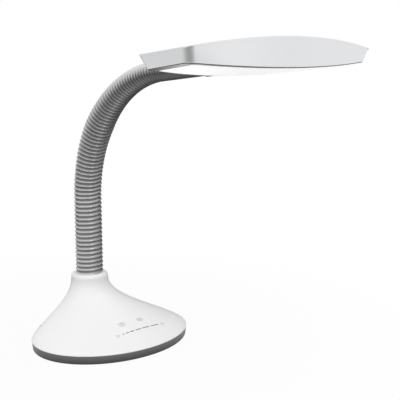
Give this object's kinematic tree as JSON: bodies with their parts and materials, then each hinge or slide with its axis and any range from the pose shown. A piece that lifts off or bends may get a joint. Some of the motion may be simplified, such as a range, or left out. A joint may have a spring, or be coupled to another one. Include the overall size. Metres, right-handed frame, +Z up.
{
  "type": "desk lamp",
  "caption": "Gooseneck desk lamp: a wide lens-shaped light head on a ribbed bendable neck over a flared, weighted base with touch controls.",
  "frame": {"origin": "on the desk, straight under the neck's axis", "axes": "+Z up, -Y towards the user, the way the head reaches, +X to the user's right"},
  "size_m": [0.228, 0.3355, 0.3258],
  "materials": {
    "shell_white": "smooth satin",
    "head_white": "smooth satin",
    "skirt_grey": "fine satin",
    "ferrule_grey": "satin",
    "pad_rubber": "matt",
    "ballast_iron": "plain",
    "steel": "plain",
    "board_green": "solder mask",
    "board_white": "solder mask",
    "film_amber": "smooth",
    "inlet_black": "moulded",
    "lead_rubber": "matt",
    "diffuser_white": "frosted",
    "chip_yellow": "moulded",
    "spreader_alu": "plain",
    "neck_sleeve": "soft sheen"
  },
  "bodies": {
    "base": {"base_shell": "shell_white", "base_skirt": "skirt_grey", "base_pad": "pad_rubber", "ballast_plate": "ballast_iron", "base_screws": "steel", "control_board": "board_green", "board_screws": "steel", "touch_film": "film_amber", "power_inlet": "inlet_black", "neck_stem": "steel", "neck_washer": "steel", "neck_nut": "steel", "neck_lead": "lead_rubber", "neck_link_01": "neck_sleeve"},
    "neck_02": {"neck_link_02": "neck_sleeve"},
    "neck_03": {"neck_link_03": "neck_sleeve"},
    "neck_04": {"neck_link_04": "neck_sleeve"},
    "neck_05": {"neck_link_05": "neck_sleeve"},
    "neck_06": {"neck_link_06": "neck_sleeve"},
    "neck_07": {"neck_link_07": "neck_sleeve"},
    "neck_08": {"neck_link_08": "neck_sleeve"},
    "neck_09": {"neck_link_09": "neck_sleeve"},
    "neck_10": {"neck_link_10": "neck_sleeve"},
    "neck_11": {"neck_link_11": "neck_sleeve"},
    "neck_12": {"neck_link_12": "neck_sleeve"},
    "neck_13": {"neck_link_13": "neck_sleeve"},
    "neck_14": {"neck_link_14": "neck_sleeve"},
    "neck_15": {"neck_link_15": "neck_sleeve"},
    "neck_16": {"neck_link_16": "neck_sleeve"},
    "neck_17": {"neck_link_17": "neck_sleeve"},
    "neck_18": {"neck_link_18": "neck_sleeve"},
    "neck_19": {"neck_link_19": "neck_sleeve"},
    "head": {"neck_link_20": "neck_sleeve", "head_shell": "head_white", "head_bezel": "skirt_grey", "diffuser": "diffuser_white", "led_board": "board_white", "led_chips": "chip_yellow", "heat_spreader": "spreader_alu", "head_screws": "steel", "head_socket": "spreader_alu", "socket_screws": "steel", "head_stem": "steel", "head_ferrule": "ferrule_grey"}
  },
  "joints": [
    {"name": "neck_lower_bend", "type": "hinge", "parent": "base", "child": "neck_02", "pos_m": [0, 0, 0.08741], "axis": [1, 0, 0], "range_deg": [-6, 5], "deforming": ["neck_lead"]},
    {"name": "neck_joint_02_bend", "type": "hinge", "parent": "neck_02", "child": "neck_03", "pos_m": [0, 0, 0.10533], "axis": [1, 0, 0], "range_deg": [-6, 5]},
    {"name": "neck_lower_sway", "type": "hinge", "parent": "neck_03", "child": "neck_04", "pos_m": [0, 0, 0.12324], "axis": [0, 1, 0], "range_deg": [-7, 7], "deforming": ["neck_lead"]},
    {"name": "neck_joint_04_bend", "type": "hinge", "parent": "neck_04", "child": "neck_05", "pos_m": [0, 0, 0.14115], "axis": [1, 0, 0], "range_deg": [-6, 5]},
    {"name": "neck_upper_bend", "type": "hinge", "parent": "neck_05", "child": "neck_06", "pos_m": [0, -0.00003, 0.15906], "axis": [1, 0, 0], "range_deg": [-8, 2.5], "deforming": ["neck_lead"]},
    {"name": "neck_joint_06_bend", "type": "hinge", "parent": "neck_06", "child": "neck_07", "pos_m": [0, -0.00157, 0.1769], "axis": [1, 0, 0], "range_deg": [-8, 2.5]},
    {"name": "neck_joint_07_sway", "type": "hinge", "parent": "neck_07", "child": "neck_08", "pos_m": [0, -0.00537, 0.19439], "axis": [0, 0.9617, 0.2742], "range_deg": [-7, 7]},
    {"name": "neck_joint_08_bend", "type": "hinge", "parent": "neck_08", "child": "neck_09", "pos_m": [0, -0.01137, 0.21125], "axis": [1, 0, 0], "range_deg": [-8, 2.5]},
    {"name": "neck_joint_09_bend", "type": "hinge", "parent": "neck_09", "child": "neck_10", "pos_m": [0, -0.01947, 0.22722], "axis": [1, 0, 0], "range_deg": [-8, 2.5]},
    {"name": "neck_joint_10_bend", "type": "hinge", "parent": "neck_10", "child": "neck_11", "pos_m": [0, -0.02954, 0.24201], "axis": [1, 0, 0], "range_deg": [-8, 2.5]},
    {"name": "neck_upper_sway", "type": "hinge", "parent": "neck_11", "child": "neck_12", "pos_m": [0, -0.04142, 0.25541], "axis": [0, 0.7042, 0.71], "range_deg": [-7, 7], "deforming": ["neck_lead"]},
    {"name": "neck_joint_12_bend", "type": "hinge", "parent": "neck_12", "child": "neck_13", "pos_m": [0, -0.05491, 0.26717], "axis": [1, 0, 0], "range_deg": [-8, 2.5]},
    {"name": "neck_joint_13_bend", "type": "hinge", "parent": "neck_13", "child": "neck_14", "pos_m": [0, -0.06979, 0.27712], "axis": [1, 0, 0], "range_deg": [-8, 2.5]},
    {"name": "neck_joint_14_bend", "type": "hinge", "parent": "neck_14", "child": "neck_15", "pos_m": [0, -0.08582, 0.28509], "axis": [1, 0, 0], "range_deg": [-8, 2.5]},
    {"name": "neck_joint_15_sway", "type": "hinge", "parent": "neck_15", "child": "neck_16", "pos_m": [0, -0.10273, 0.29095], "axis": [0, 0.2662, 0.9639], "range_deg": [-7, 7]},
    {"name": "neck_joint_16_bend", "type": "hinge", "parent": "neck_16", "child": "neck_17", "pos_m": [0, -0.12026, 0.2946], "axis": [1, 0, 0], "range_deg": [-8, 2.5]},
    {"name": "neck_joint_17_bend", "type": "hinge", "parent": "neck_17", "child": "neck_18", "pos_m": [0, -0.13806, 0.29657], "axis": [1, 0, 0], "range_deg": [-8, 2.5]},
    {"name": "neck_joint_18_sway", "type": "hinge", "parent": "neck_18", "child": "neck_19", "pos_m": [0, -0.15587, 0.29844], "axis": [0, 0.1045, 0.9945], "range_deg": [-7, 7]},
    {"name": "neck_joint_19_bend", "type": "hinge", "parent": "neck_19", "child": "head", "pos_m": [0, -0.17369, 0.30031], "axis": [1, 0, 0], "range_deg": [-8, 2.5]}
  ],
  "couplings": [
    {"joint": "neck_joint_02_bend", "follows": "neck_lower_bend", "ratio": 1},
    {"joint": "neck_joint_04_bend", "follows": "neck_lower_bend", "ratio": 1},
    {"joint": "neck_joint_06_bend", "follows": "neck_upper_bend", "ratio": 1},
    {"joint": "neck_joint_07_sway", "follows": "neck_lower_sway", "ratio": 1},
    {"joint": "neck_joint_08_bend", "follows": "neck_upper_bend", "ratio": 1},
    {"joint": "neck_joint_09_bend", "follows": "neck_upper_bend", "ratio": 1},
    {"joint": "neck_joint_10_bend", "follows": "neck_upper_bend", "ratio": 1},
    {"joint": "neck_joint_12_bend", "follows": "neck_upper_bend", "ratio": 1},
    {"joint": "neck_joint_13_bend", "follows": "neck_upper_bend", "ratio": 1},
    {"joint": "neck_joint_14_bend", "follows": "neck_upper_bend", "ratio": 1},
    {"joint": "neck_joint_15_sway", "follows": "neck_upper_sway", "ratio": 1},
    {"joint": "neck_joint_16_bend", "follows": "neck_upper_bend", "ratio": 1},
    {"joint": "neck_joint_17_bend", "follows": "neck_upper_bend", "ratio": 1},
    {"joint": "neck_joint_18_sway", "follows": "neck_upper_sway", "ratio": 1},
    {"joint": "neck_joint_19_bend", "follows": "neck_upper_bend", "ratio": 1}
  ]
}
